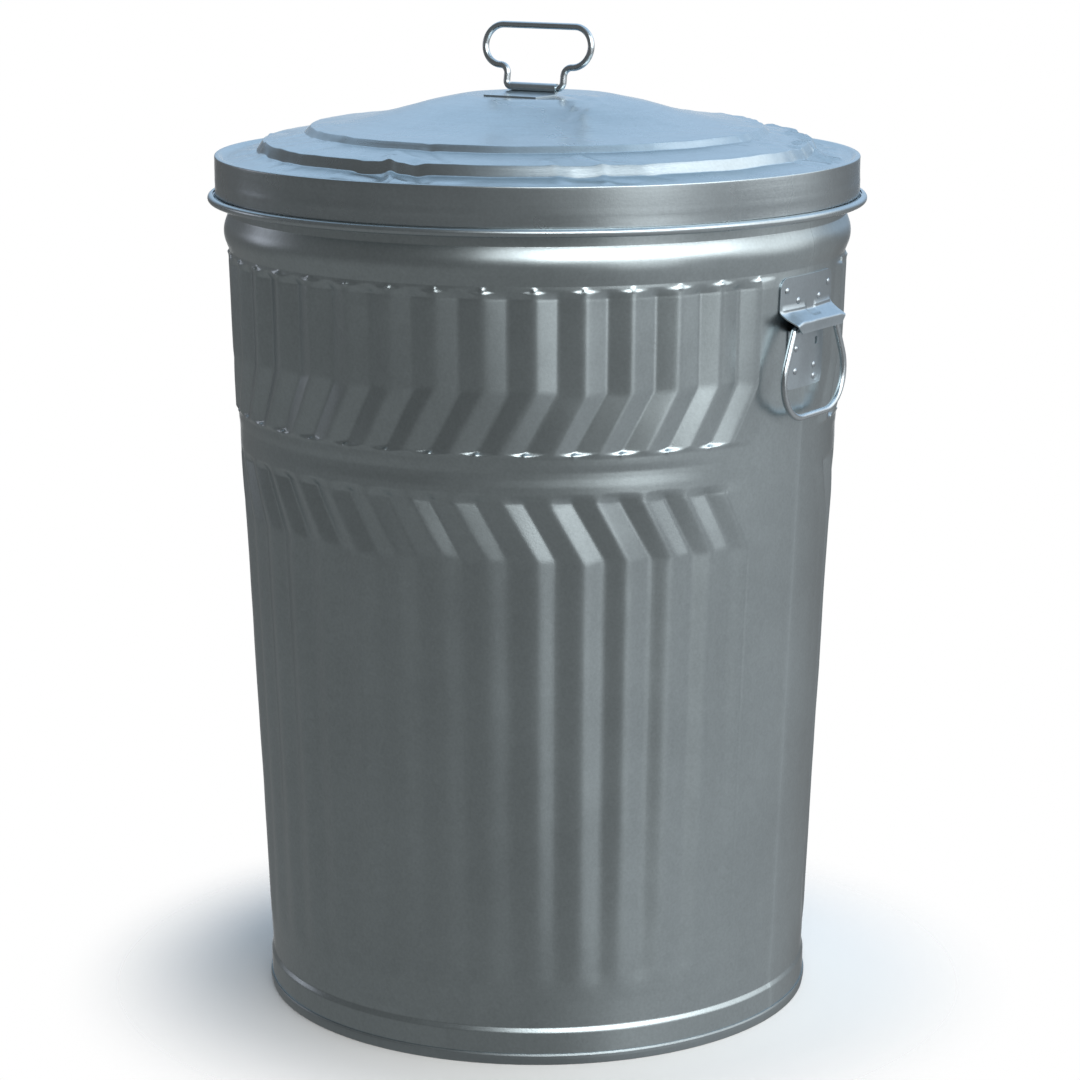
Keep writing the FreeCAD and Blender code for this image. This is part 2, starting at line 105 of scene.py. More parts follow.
def grid_mesh(name, points, body, material, close_v=False):
    """Smooth mesh over a grid of points [row, column, xyz] in mm, closed round its columns."""
    rows, columns = points.shape[:2]
    index = np.arange(rows * columns).reshape(rows, columns)
    if close_v:
        index = np.concatenate([index, index[:1]])
    right = np.roll(index, -1, axis=1)
    faces = np.stack([index[:-1], right[:-1], right[1:], index[1:]], axis=-1).reshape(-1, 4)
    return add_piece(name, points.reshape(-1, 3), faces.tolist(), body, material)


def ramp(values, stops):
    """Piecewise-linear value at each of an array of positions, from (position, value) stops."""
    places, levels = zip(*stops)
    return np.interp(values, places, levels)


def round_points(corners, steps=8):
    """Points along (a, b, radius) corners, with each corner rounded by an arc."""
    points = [np.array(corners[0][:2], float)]
    for before, corner, after in zip(corners, corners[1:], corners[2:]):
        here = np.array(corner[:2], float)
        back = np.array(before[:2], float) - here
        ahead = np.array(after[:2], float) - here
        back /= np.linalg.norm(back)
        ahead /= np.linalg.norm(ahead)
        radius = corner[2]
        half = math.acos(np.clip(back @ ahead, -1, 1)) / 2
        if radius == 0:
            points.append(here)
            continue
        inward = back + ahead
        centre = here + inward / np.linalg.norm(inward) * radius / math.sin(half)
        start = here + back * radius / math.tan(half) - centre
        end = here + ahead * radius / math.tan(half) - centre
        first = math.atan2(start[1], start[0])
        turn = math.atan2(start[0] * end[1] - start[1] * end[0], start @ end)
        for step in range(steps + 1):
            angle = first + turn * step / steps
            points.append(centre + radius * np.array([math.cos(angle), math.sin(angle)]))
    points.append(np.array(corners[-1][:2], float))
    return np.array(points)


def turn_points(centre, radius, first, sweep, steps):
    """Points of an arc, its angles in degrees growing from the first axis to the second."""
    angles = np.radians(np.linspace(first, first + sweep, steps + 1))
    return np.stack([centre[0] + radius * np.cos(angles), centre[1] + radius * np.sin(angles)], 1)


def thicken(profile, thickness):
    """The same profile on the other side of the sheet, to the left of the way it runs."""
    along = np.gradient(profile, axis=0)
    along /= np.linalg.norm(along, axis=1)[:, None]
    return profile + thickness * np.stack([-along[:, 1], along[:, 0]], 1)


def spread(profile, longest):
    """The profile with extra points so that no run is longer than a limit."""
    points = [profile[0]]
    for start, end in zip(profile, profile[1:]):
        count = max(1, math.ceil(np.linalg.norm(end - start) / longest))
        points += [start + (end - start) * k / count for k in range(1, count + 1)]
    return np.array(points)


def revolve(profile, angles):
    """Grid of points [profile, angle] from (radius, height) rows and angles in degrees."""
    turn = np.radians(angles)[None, :]
    radius, height = profile[:, 0, None], profile[:, 1, None]
    return np.stack([radius * np.sin(turn), -radius * np.cos(turn),
                     height + 0 * turn], axis=-1)


# ---------------------------------------------------------------- materials

SPECK_SCALE = 420.0             # texture scales are per metre
RELIEF_SCALE = 800.0
RELIEF_DEPTH = 0.0003           # metres
CELLS_PER_CLOUD = 16
CLOUD_TONE = 0.10               # shares of the colour's brightness
CELL_TONE = 0.05
RING_TONE = 0.16
RING_RELIEF = 1.6
RING_SCALES = (260.0, 1.6, 160.0)   # of the rolling marks, outwards, round and up
EDGE_WEAR_AND_SHADE = 1.2                 # how much worn high edges brighten, and how much hollows darken as painted shade
EDGE_NONE = 0.5                 # the pointiness of a flat surface
ROUGH_BELOW, ROUGH_ABOVE = 0.06, 0.07


def steel(name, colour, roughness, grain=0.09, bump=0.2, spangle=9.0, rings=False):
    """Galvanised steel: clouded zinc, fine grain, spangle, worn high edges, painted shade in
    hollows and rolling marks.
    """
    material = bpy.data.materials.new(name)
    material.use_nodes = True
    nodes, links = material.node_tree.nodes, material.node_tree.links
    shader = nodes["Principled BSDF"]
    shader.inputs["Metallic"].default_value = 1.0
    place = nodes.new("ShaderNodeTexCoord")

    def texture(kind, scale, detail=None, vector=place.outputs["Object"]):
        node = nodes.new(kind)
        node.inputs["Scale"].default_value = scale
        if detail:
            node.inputs["Detail"].default_value = detail
        links.new(vector, node.inputs["Vector"])
        return node

    def calculate(operation, first, second, third=None):
        node = nodes.new("ShaderNodeMath")
        node.operation = operation
        for socket, value in zip(node.inputs, (first, second, third)):
            if isinstance(value, (int, float)):
                socket.default_value = value
            elif value is not None:
                links.new(value, socket)
        return node.outputs[0]

    cloud = texture("ShaderNodeTexNoise", spangle, detail=6.0).outputs["Fac"]
    cells = texture("ShaderNodeTexVoronoi", spangle * CELLS_PER_CLOUD)
    speck = texture("ShaderNodeTexNoise", SPECK_SCALE, detail=2.0).outputs["Fac"]
    tone = calculate("MULTIPLY_ADD", cloud, 2 * CLOUD_TONE, 1 - CLOUD_TONE)
    tone = calculate("MULTIPLY_ADD", cells.outputs["Color"], CELL_TONE, tone)
    tone = calculate("MULTIPLY_ADD", speck, 2 * grain, tone)
    geometry = nodes.new("ShaderNodeNewGeometry")
    # pointiness lightens the worn high edges and darkens hollows as painted shade
    edge = calculate("SUBTRACT", geometry.outputs["Pointiness"], EDGE_NONE)
    edge = calculate("MULTIPLY", edge, EDGE_WEAR_AND_SHADE)
    tone = calculate("ADD", tone, edge)
    tone = calculate("SUBTRACT", tone, grain + CELL_TONE / 2)
    relief_height = texture("ShaderNodeTexNoise", RELIEF_SCALE, detail=3.0).outputs["Fac"]
    if rings:
        split = nodes.new("ShaderNodeSeparateXYZ")
        links.new(place.outputs["Object"], split.inputs[0])
        across = calculate("POWER", split.outputs["X"], 2.0)
        radius = calculate("SQRT", calculate("ADD", across, calculate(
            "POWER", split.outputs["Y"], 2.0)), 0)
        turn = calculate("ARCTAN2", split.outputs["Y"], split.outputs["X"])
        polar = nodes.new("ShaderNodeCombineXYZ")
        for socket, along, scale in zip(polar.inputs, (radius, turn, split.outputs["Z"]),
                                        RING_SCALES):
            links.new(calculate("MULTIPLY", along, scale), socket)
        streak = texture("ShaderNodeTexNoise", 1.0, 4.0, polar.outputs[0]).outputs["Fac"]
        relief_height = calculate("MULTIPLY_ADD", streak, RING_RELIEF, relief_height)
        tone = calculate("SUBTRACT", tone, RING_TONE / 2)
        tone = calculate("MULTIPLY_ADD", streak, RING_TONE, tone)
    shade = nodes.new("ShaderNodeVectorMath")
    shade.operation = "SCALE"
    shade.inputs[0].default_value = colour
    links.new(tone, shade.inputs["Scale"])
    links.new(shade.outputs[0], shader.inputs["Base Color"])
    rough = nodes.new("ShaderNodeMapRange")
    rough.inputs["To Min"].default_value = roughness - ROUGH_BELOW
    rough.inputs["To Max"].default_value = roughness + ROUGH_ABOVE
    links.new(cloud, rough.inputs["Value"])
    links.new(rough.outputs[0], shader.inputs["Roughness"])
    relief = nodes.new("ShaderNodeBump")
    relief.inputs["Strength"].default_value = bump
    relief.inputs["Distance"].default_value = RELIEF_DEPTH
    links.new(relief_height, relief.inputs["Height"])
    links.new(relief.outputs["Normal"], shader.inputs["Normal"])
    return material


WALL_STEEL = steel("wall_steel", (0.448, 0.514, 0.532), 0.30, grain=0.13)
LID_STEEL = steel("lid_steel", (0.457, 0.521, 0.545), 0.27, grain=0.11, rings=True)
PAN_STEEL = steel("pan_steel", (0.375, 0.43, 0.45), 0.36)
PLATE_STEEL = steel("plate_steel", (0.455, 0.525, 0.565), 0.33, spangle=25)
WIRE_STEEL = steel("wire_steel", (0.54, 0.60, 0.63), 0.21, spangle=30)
RIVET_STEEL = steel("rivet_steel", (0.40, 0.45, 0.48), 0.30, bump=0.5, spangle=60)

# ---------------------------------------------------------------- the wall

# half widths of a rib's rounded crest and valley in shares of a pitch, how much wider both are low
# on the wall, and the heights between which that ends
CREST_HALF, CREST_WIDER = 0.10, 0.07
VALLEY_HALF, VALLEY_WIDER = 0.06, 0.08
WIDER_BELOW = (390, 440)


def rib_form(phase, height):
    """Height of the ribs, 1 on a ridge and 0 in a groove, at a share of a pitch from a ridge."""
    soft = 1 - smooth_step(height, *WIDER_BELOW)
    crest = CREST_HALF + CREST_WIDER * soft
    valley = VALLEY_HALF + VALLEY_WIDER * soft
    away = np.abs(phase) + 0 * height
    left = 0.5 - away
    form = 1 - 2 * away
    form = np.where(away < crest, 1 - (away ** 2 + crest ** 2) / crest, form)
    return np.where(left < valley, (left ** 2 + valley ** 2) / valley, form)


def smooth_step(values, start, end):
    """0 below the start, 1 above the end and a smooth rise between them."""
    share = np.clip((values - start) / (end - start), 0, 1)
    return share * share * (3 - 2 * share)


# heights with a value at each: the plain wall's radius, how far the crests stand out, how far the
# valleys lie in, the share of the slant, and the depth of the waist groove
WALL_PLAIN = ((0.7, 228.7), (26.4, 228.9), (27.2, 228.7), (30.8, 227.3), (54.0, 228.3),
              (64.0, 228.9), (469.0, 247.3), (504.0, 248.9), (547.0, 250.8), (618.0, 253.6),
              (628.0, 253.4), (632.0, 253.6))
CREST = ((52.0, 0), (72.0, 0.7), (415.0, 0.6), (460.0, 0.7), (469.0, 0),
         (496.5, 0), (500.0, 2.2), (545.0, 2.3), (622.0, 1.7), (624.5, 1.5), (626.3, 0))
VALLEY = ((58.0, 0), (66.0, 0.3), (76.0, 1.0), (130.0, 2.3), (220.0, 3.4), (330.0, 4.1),
          (415.0, 4.2), (461.5, 4.4), (468.0, 0), (498.6, 0), (500.6, 2.4), (545.0, 2.8),
          (620.0, 4.4), (626.5, 0))
SLANT = ((415.0, 0), (461.0, 1), (499.0, 1), (547.0, 0))
GROOVE = ((470.0, 0), (474.0, 0.15), (480.5, 1.0), (485.5, 1.3), (490.5, 0.2), (494.5, 0))
# marks of the press at the rib ends: share of a pitch from a ridge, height, size and width
PRESS_MARKS = ((0.0, 626.2, 1.3, 1.9), (0.5, 499.0, 1.3, 2.0))
# over how many millimetres of height the corners of those tables are softened
WALL_SOFT, RIB_SOFT, GROOVE_SOFT, SLANT_SOFT = 0.5, 0.8, 1.2, 2.0
GROOVE_FADE = (60, 74)          # degrees from the panel's middle where the groove runs out
GROOVE_LEAST = 0.35             # share of its depth left of the angles where it deepens
GROOVE_DEEPENS = (-30, 20)
LAP_STEP = 0.3                  # lap line beside the seam: its angles, and the heights of its end
LAP_ANGLES = (89.1, 89.4)
LAP_END = (600, 630)
RIB_SEED = 11


def rounded_ramp(values, stops, width):
    """A ramp whose corners are softened over a width."""
    offsets = np.linspace(-width, width, 9)
    return np.mean([ramp(values + offset, stops) for offset in offsets], axis=0)


def rib_character():
    """How each rib differs a little from the next, from a fixed seed."""
    draw = np.random.RandomState(RIB_SEED)
    return {"turn": draw.uniform(-0.16, 0.16, RIB_COUNT),
            "bend": draw.uniform(-4, 4, RIB_COUNT),
            "foot": draw.uniform(-1.2, 1.2, RIB_COUNT),
            "height": draw.uniform(0.86, 1.12, RIB_COUNT)}


RIB_CHARACTER = rib_character()


def wall_surface(stations, heights):
    """Radius and angle of the wall's outside at each height and station."""
    height = heights[:, None]
    station = stations[None, :]
    ribs = (station - PANEL_TURN) / RIB_PITCH + RIB_COUNT / 2 - 0.5
    nearest = np.clip(np.round(ribs), 0, RIB_COUNT - 1).astype(int)
    own = RIB_CHARACTER
    phase = ribs - np.round(ribs)
    centred = 1 - 2 * np.abs(phase)
    share = rib_form(phase, height)
    in_panel = (ribs > -0.5) & (ribs < RIB_COUNT - 0.5)
    first_or_last = (ribs < 0) | (ribs > RIB_COUNT - 1)
    shifted = height + own["foot"][nearest] * centred
    crest = rounded_ramp(shifted, CREST, RIB_SOFT) * own["height"][nearest]
    valley = rounded_ramp(height, VALLEY, RIB_SOFT)
    rise = crest * share - np.where(first_or_last, 0, valley * (1 - share))
    rise = np.where(in_panel, rise, 0)
    reach = np.abs(station - PANEL_TURN)
    groove = -rounded_ramp(height, GROOVE, GROOVE_SOFT) * (1 - smooth_step(reach, *GROOVE_FADE))
    groove = groove * (GROOVE_LEAST + (1 - GROOVE_LEAST) * smooth_step(station, *GROOVE_DEEPENS))
    arc = math.radians(RIB_PITCH) * WALL_MIDDLE
    for at, mark_height, size, width in PRESS_MARKS:
        across = (np.abs(phase) - at) * arc
        away = (across ** 2 + (height - mark_height) ** 2) / width ** 2
        rise = rise + np.where(in_panel & ~first_or_last, size * np.exp(-away), 0)
    lap = LAP_STEP * smooth_step(station, *LAP_ANGLES) * (1 - smooth_step(height, *LAP_END))
    radius = rounded_ramp(height, WALL_PLAIN, WALL_SOFT) + rise + groove + lap
    slant = rounded_ramp(height + own["bend"][nearest] * centred, SLANT, SLANT_SOFT)
    room = SEAM - PANEL_HALF + PANEL_TURN * np.sign(station)
    weight = np.clip((SEAM - np.abs(station)) / room, 0, 1)
    turn = own["turn"][nearest] * centred * in_panel
    return radius, station + turn - RIB_SLANT * slant * weight


def wall_stations():
    """Columns of the wall's grid, close together where the ribs turn."""
    phases = (-0.5, -0.475, -0.45, -0.42, -0.34, -0.25, -0.16, -0.09, -0.05, -0.025, 0, 0.025,
              0.05, 0.09, 0.16, 0.25, 0.34, 0.42, 0.45, 0.475)
    first = PANEL_TURN - RIB_PITCH * (RIB_COUNT - 1) / 2
    ribbed = [first + (rib + phase) * RIB_PITCH for rib in range(RIB_COUNT) for phase in phases]
    trim = math.degrees(SEAM_HALF / NECK)
    left = np.linspace(-SEAM + trim, ribbed[0], 13)[:-1]
    right = np.linspace(first + (RIB_COUNT - 0.5) * RIB_PITCH, SEAM - trim, 11)
    return np.concatenate([left, ribbed, right])


def wall_heights():
    """Rows of the wall's grid, close together where its section turns."""
    stretches = ((0.7, 25, 7), (25, 32.5, 20), (32.5, 50, 5), (50, 80, 22), (80, 400, 32),
                 (400, 430, 20), (430, 457, 12), (457, 512, 72), (512, 532, 8),
                 (532, 560, 18), (560, 612, 14), (612, WALL_HEAD, 26))
    rows = [np.linspace(low, high, count, endpoint=False) for low, high, count in stretches]
    return np.concatenate(rows + [[WALL_HEAD]])


def rim_profile():
    """Hoop, neck and rolled rim, as (radius, height) rows on the outside."""
    rise = round_points(((253.4, WALL_HEAD), (253.4, 629.5, 2.5), (259.2, 644.5, 24.0),
                         (253.6, 659.5, 2.0), (NECK, RIM_TOP - CURL_INNER - SHEET)), 12)
    curl = turn_points((NECK + CURL_INNER, RIM_TOP - CURL_INNER - SHEET), CURL_INNER,
                       180, -CURL_SWEEP, 30)
    return spread(np.concatenate([rise, curl[1:]]), 3.0)


# unevenness of the sheets: how far it moves them, the size of its waves and its seed
WALL_WAVES = ((0.45, 90.0, 3.0), (0.22, 32.0, 9.0))
WALL_CALM_FOOT, WALL_CALM_RIM = (30, 90), (640, 690)


def wobble(x, y, z, *waves):
    """Slow unevenness of hand-worked sheet, from waves of (height, size, seed)."""
    return sum(height * noise.noise(Vector((x / size + seed, y / size, z / size)))
               for height, size, seed in waves)


def wall_grid(inset, start):
    """Points of one half of the wall, from the foot to the rolled rim."""
    stations = wall_stations()
    heights = wall_heights()
    radius, angle = wall_surface(stations, heights)
    radius = radius - inset
    turn = np.radians(angle + start)
    low = np.stack([radius * np.sin(turn), -radius * np.cos(turn),
                    heights[:, None] + 0 * turn], axis=-1)
    profile = rim_profile()
    if inset:
        profile = thicken(profile, inset)
    high = revolve(profile[1:], stations + start)
    grid = np.concatenate([low, high])
    return uneven(grid)


def uneven(grid):
    """Move each point of the wall in or out a little, less near the foot and the rim."""
    flat = grid.reshape(-1, 3)
    radius = np.hypot(flat[:, 0], flat[:, 1])
    calm = smooth_step(flat[:, 2], *WALL_CALM_FOOT) * (1 - smooth_step(flat[:, 2], *WALL_CALM_RIM))
    move = np.array([wobble(x, y, z, *WALL_WAVES) for x, y, z in flat]) * calm
    scale = 1 + move / radius
    flat[:, 0] *= scale
    flat[:, 1] *= scale
    return flat.reshape(grid.shape)


def sheet_piece(name, outer, inner, body, material, closed=False):
    """Closed sheet from its outer and inner grids; a closed one goes right round to a middle."""
    rows, columns = outer.shape[:2]
    points = np.concatenate([outer.reshape(-1, 3), inner.reshape(-1, 3)])
    index = np.arange(rows * columns).reshape(rows, columns)
    if closed:
        index = np.concatenate([index, index[:, :1]], axis=1)
    under = index + rows * columns

    def quads(low_left, low_right, high_right, high_left):
        return np.stack([low_left, low_right, high_right, high_left], axis=-1).reshape(-1, 4)

    parts = [
        quads(index[:-1, :-1], index[:-1, 1:], index[1:, 1:], index[1:, :-1]),
        quads(under[:-1, 1:], under[:-1, :-1], under[1:, :-1], under[1:, 1:]),
        quads(under[0, :-1], under[0, 1:], index[0, 1:], index[0, :-1]),
    ]
    if not closed:
        parts += [
            quads(index[-1, :-1], index[-1, 1:], under[-1, 1:], under[-1, :-1]),
            quads(index[:-1, 0], index[1:, 0], under[1:, 0], under[:-1, 0]),
            quads(under[:-1, -1], under[1:, -1], index[1:, -1], index[:-1, -1]),
        ]
    faces = np.concatenate(parts).tolist()
    if closed:
        middle = len(points)
        points = np.concatenate([points, [outer[-1].mean(axis=0)], [inner[-1].mean(axis=0)]])
        for k in range(columns):
            faces.append([int(index[-1, k]), int(index[-1, k + 1]), middle])
            faces.append([int(under[-1, k + 1]), int(under[-1, k]), middle + 1])
    return add_piece(name, points, faces, body, material, sharp=SHARP_ANGLE)


def make_wall():
    """The two halves of the ribbed wall, with the hoop and the rolled rim."""
    for name, start in (("front", 0), ("rear", 180)):
        piece = sheet_piece("wall_" + name, wall_grid(0, start), wall_grid(SHEET, start),
                            "can", WALL_STEEL)
        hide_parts("body_shell_" + name)


# ---------------------------------------------------------------- the lid


def lid_profile():
    """Bead, skirt, lip, stepped rings and dome, as (radius, height) rows on the outside."""
    bead = turn_points((LID_SKIRT + CURL_INNER, LID_BEAD_Z), CURL_INNER, 180 + CURL_SWEEP,
                       -CURL_SWEEP, 30)
    top = round_points((
        (LID_SKIRT, LID_BEAD_Z), (LID_SKIRT, LID_LIP_Z, 1.3), (260.8, LID_LIP_Z, 1.6),
        (257.2, 703.75, 3.0), (253.9, 703.75, 3.0), (229.7, 708.9, 1.8), (224.5, 717.6, 1.8),
        (190.5, 723.2, 1.8), (185.3, 728.8, 1.8), (150.0, 732.2, 200.0), (120.0, 738.8, 200.0),
        (90.0, 747.2, 200.0), (60.0, 753.2, 50.0), (1.0, 753.2)), 8)
    return spread(np.concatenate([bead, top[1:]]), 2.4)


# creases in the lid's top: height, half width and the line on plan that each one follows
CREASES = (
    (2.4, 4.0, ((0, -212), (20, -240), (42, -256))),
    (-2.0, 4.5, ((-16, -228), (10, -236), (30, -258))),
    (-1.6, 5.0, ((28, -220), (50, -240))),
    (-0.9, 3.5, ((-30, -242), (2, -254))),
    (0.9, 3.5, ((8, -258), (36, -246))),
    (-0.8, 4.0, ((55, -246), (78, -236))),
    (0.8, 3.5, ((-4, -196), (14, -208), (40, -216))),
    (-0.7, 4.0, ((18, -186), (52, -210))),
    (1.3, 4.0, ((132, -150), (158, -158), (176, -176))),
    (-1.2, 5.0, ((150, -178), (186, -158))),
    (0.8, 4.0, ((120, -176), (148, -192))),
    (-0.7, 4.0, ((160, -140), (200, -130))),
    (-1.1, 4.0, ((30, 2), (58, -20), (68, -44), (74, -78))),
    (0.8, 5.0, ((44, 4), (70, -16), (80, -50))),
    (1.9, 4.0, ((-160, -158), (-144, -182))),
    (-0.9, 4.0, ((-176, -150), (-196, -146))),
    (0.8, 3.5, ((-188, -136), (-214, -124))),
    (-0.8, 3.5, ((-196, -118), (-226, -100))),
    (0.9, 4.0, ((-205, -92), (-236, -70))),
    (-0.9, 5.0, ((-170, -110), (-200, -80))),
    (2.9, 2.9, ((172, 116), (205, 96), (222, 70), (238, 60))),
    (-1.6, 4.0, ((190, 120), (226, 96))),
    (2.2, 2.8, ((206, 62), (222, 78), (236, 84))),
    (1.8, 3.0, ((120, 176), (150, 164), (172, 170))),
    (1.5, 3.5, ((176, 140), (196, 134), (204, 146))),
    (-1.4, 3.5, ((214, 40), (232, 52))),
    (0.9, 5.0, ((-150, 60), (-190, 110), (-200, 150))),
    (-1.0, 5.0, ((60, 190), (90, 225))),
    (1.2, 4.0, ((-90, 210), (-70, 240))),
)


# the lid's unevenness, in the same terms as the wall's; waves on the skirt run round it in degrees
LID_WAVES = ((0.55, 46.0, 5.0), (0.25, 17.0, 2.0))
LUMP_WAVES = ((1, 15.0, 4.0),)
SLACK_WAVES = ((0.35, 22.0, 7.0),)
FOLD_WAVES = ((0.5, 9.0, 1.0),)
# how high the lumps of the two battered stretches are, and the angles where each starts and ends
BATTERED = ((1.5, (82, 100), (150, 178)), (0.9, (-62, -48), (-25, -12)))
LUMPS_FROM = (160, 190)         # radii
CROWN_CALM = (45, 75)
TREADS_END = (246, 256)
SKIRT_FROM = (262.5, 263.8)
SKIRT_FOOT = (676, 679)         # heights
SLACK_FROM = (674, 682)
FOLD_Z, FOLD_HALF, FOLD_HEIGHT = 685.0, 1.6, 0.32


def line_distance(points, start, end):
    """Distance of each point on plan from a stretch of a line."""
    start, end = np.array(start, float), np.array(end, float)
    along = end - start
    share = np.clip((points - start) @ along / (along @ along), 0, 1)
    return np.linalg.norm(points - start - share[:, None] * along, axis=1)


def dented(grid):
    """The lid's grid with its creases, its uneven treads and the fold round its skirt."""
    flat = grid.reshape(-1, 3)
    plan = flat[:, :2]
    radius = np.hypot(plan[:, 0], plan[:, 1])
    inside = 1 - smooth_step(radius, *TREADS_END)
    lift = np.zeros(len(flat))
    for height, width, path in CREASES:
        away = np.min([line_distance(plan, *ends) for ends in zip(path, path[1:])], axis=0)
        lift += height * np.exp(-(away / width) ** 2)
    treads = np.array([wobble(x, y, 0, *LID_WAVES) for x, y in plan])
    turn = np.degrees(np.arctan2(plan[:, 0], -plan[:, 1]))
    battered = sum(height * smooth_step(turn, *start) * (1 - smooth_step(turn, *end))
                   for height, start, end in BATTERED)
    lumps = np.array([wobble(x, y, 0, *LUMP_WAVES) for x, y in plan])
    lift += lumps * battered * smooth_step(radius, *LUMPS_FROM)
    flat[:, 2] += (lift + treads * smooth_step(radius, *CROWN_CALM)) * inside
    on_skirt = smooth_step(radius, *SKIRT_FROM) * smooth_step(flat[:, 2], *SKIRT_FOOT)
    strength = np.array([0.5 + wobble(t, 0, 0, *FOLD_WAVES) for t in turn])
    fold = FOLD_HEIGHT * strength * np.exp(-((flat[:, 2] - FOLD_Z) / FOLD_HALF) ** 2)
    slack = np.array([wobble(t, z, 0, *SLACK_WAVES) for t, z in zip(turn, flat[:, 2])])
    scale = 1 + (fold + slack * smooth_step(flat[:, 2], *SLACK_FROM)) * on_skirt / radius
    flat[:, 0] *= scale
    flat[:, 1] *= scale
    return flat.reshape(grid.shape)


def make_lid():
    """The lid's sheet, in one piece from the bead to the middle of the dome."""
    angles = np.linspace(0, 360, 720, endpoint=False)
    profile = lid_profile()
    outer = dented(revolve(profile, angles))
    inner = dented(revolve(thicken(profile, SHEET), angles))
    piece = sheet_piece("lid_sheet", outer, inner, "lid", LID_STEEL, closed=True)
    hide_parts("lid_shell")


# ---------------------------------------------------------------- pan and wires


def make_pan():
    """Floor of the can with its leg and the rolled hem that the can stands on."""
    profile = spread(round_points((
        (229.45, 9.2), (229.95, 7.6, 0.8), (229.9, 5.2, 2.0), (229.0, 0.0, 0.8), (227.4, 0.0, 0.7),
        (227.4, 18.0, 3.6), (158.0, 18.0, 4.0), (154.0, 20.5, 4.0), (146.0, 20.5, 4.0),
        (142.0, 18.0, 4.0), (2.0, 18.0)), 6), 8.0)
    angles = np.linspace(360, 0, 360, endpoint=False)
    piece = sheet_piece("pan_sheet", revolve(profile, angles),
                        revolve(thicken(profile, -SHEET), angles), "can", PAN_STEEL, closed=True)
    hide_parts("bottom_pan")


WIRE_SIDES = 20


def ring_mesh(name, centres, radius, side_axis, body, material):
    """Closed round wire along a flat loop of centres, which lies square to an axis."""
    along = np.roll(centres, -1, axis=0) - np.roll(centres, 1, axis=0)
    along /= np.linalg.norm(along, axis=1)[:, None]
    outward = np.cross(along, side_axis)
    turns = np.linspace(2 * math.pi, 0, WIRE_SIDES, endpoint=False)
    points = centres[:, None, :] + radius * (
        np.cos(turns)[None, :, None] * outward[:, None, :]
        + np.sin(turns)[None, :, None] * np.array(side_axis)[None, None, :])
    return grid_mesh(name, points, body, material, close_v=True)


def make_bails():
    """The two bent wire handles, each a closed loop through its clip."""
    splay = BAIL_DROP * math.tan(math.radians(BAIL_SPLAY))
    right = ((0.5, BAIL_Z, 0), (BAIL_BAR_HALF, BAIL_Z, BAIL_BEND),
             (BAIL_BAR_HALF + splay, BAIL_Z - BAIL_DROP, BAIL_CORNER))
    left = tuple((-a, b, radius) for a, b, radius in reversed(right))
    route = spread(round_points(right + left, 14), 6.0)
    for side, name in ((1, "right"), (-1, "left")):
        centres = np.column_stack([np.full(len(route), side * BAIL_X), side * route[:, 0],
                                   route[:, 1]])
        piece = ring_mesh("bail_" + name, centres, BAIL_WIRE / 2, (float(side), 0.0, 0.0),
                          "bail_" + name, WIRE_STEEL)
        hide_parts("side_bail_" + name)


def hood_section(root):
    """Section of the plate and hood, from the plate's top to the lip, for a plate at a radius."""
    points = round_points(((root, HOOD_TOP), (root, HOOD_ROOT, 3.0),
                           (HOOD_LIP, HOOD_LIP_TOP, 2.6), (HOOD_LIP, HOOD_LIP_LOW)), 8)
    root_bend, lip_bend, end = points[1:10], points[10:19], points[19]
    corner = HOOD_TOP - HOOD_CORNER
    rounds = [(root, corner + HOOD_CORNER * math.cos(math.radians(a))) for a in range(0, 91, 10)]
    plate = [(root, z) for z in np.linspace(corner, root_bend[0][1], 8)[1:-1]]
    slope = [root_bend[-1] + (lip_bend[0] - root_bend[-1]) * k / 8 for k in range(1, 8)]
    lip = [lip_bend[-1] + (end - lip_bend[-1]) * k / 4 for k in range(1, 5)]
    return np.array(rounds + plate + list(root_bend) + slope + list(lip_bend) + lip)


# bends of the hood: distances across it where each starts and ends, then heights
RIDGE_BESIDE, RIDGE_ENDS = (6.5, 8.5), (38, 41)
RIDGE_HEIGHT, RIDGE_ABOVE, RIDGE_HALF = 1.1, 1.2, 1.5
NOTCH_SIDE, NOTCH_TOP, NOTCH_FOOT = (5.5, 7.5), (599.0, 600.0), (592.0, 593.5)
NOTCH_DEPTH = 0.9
HANG_TOP, HANG_SIDE, HANG_DROP = (594.0, 598.0), (30, 41), 1.5
SLOPE_FOOT, SLOPE_TOP = (588.0, 590.0), (594.5, 597.0)
SLOPE_WAVES = ((1, 13.0, 6.0),)
FAR_PLATE = 4                   # how much further in the second section that it is drawn from lies


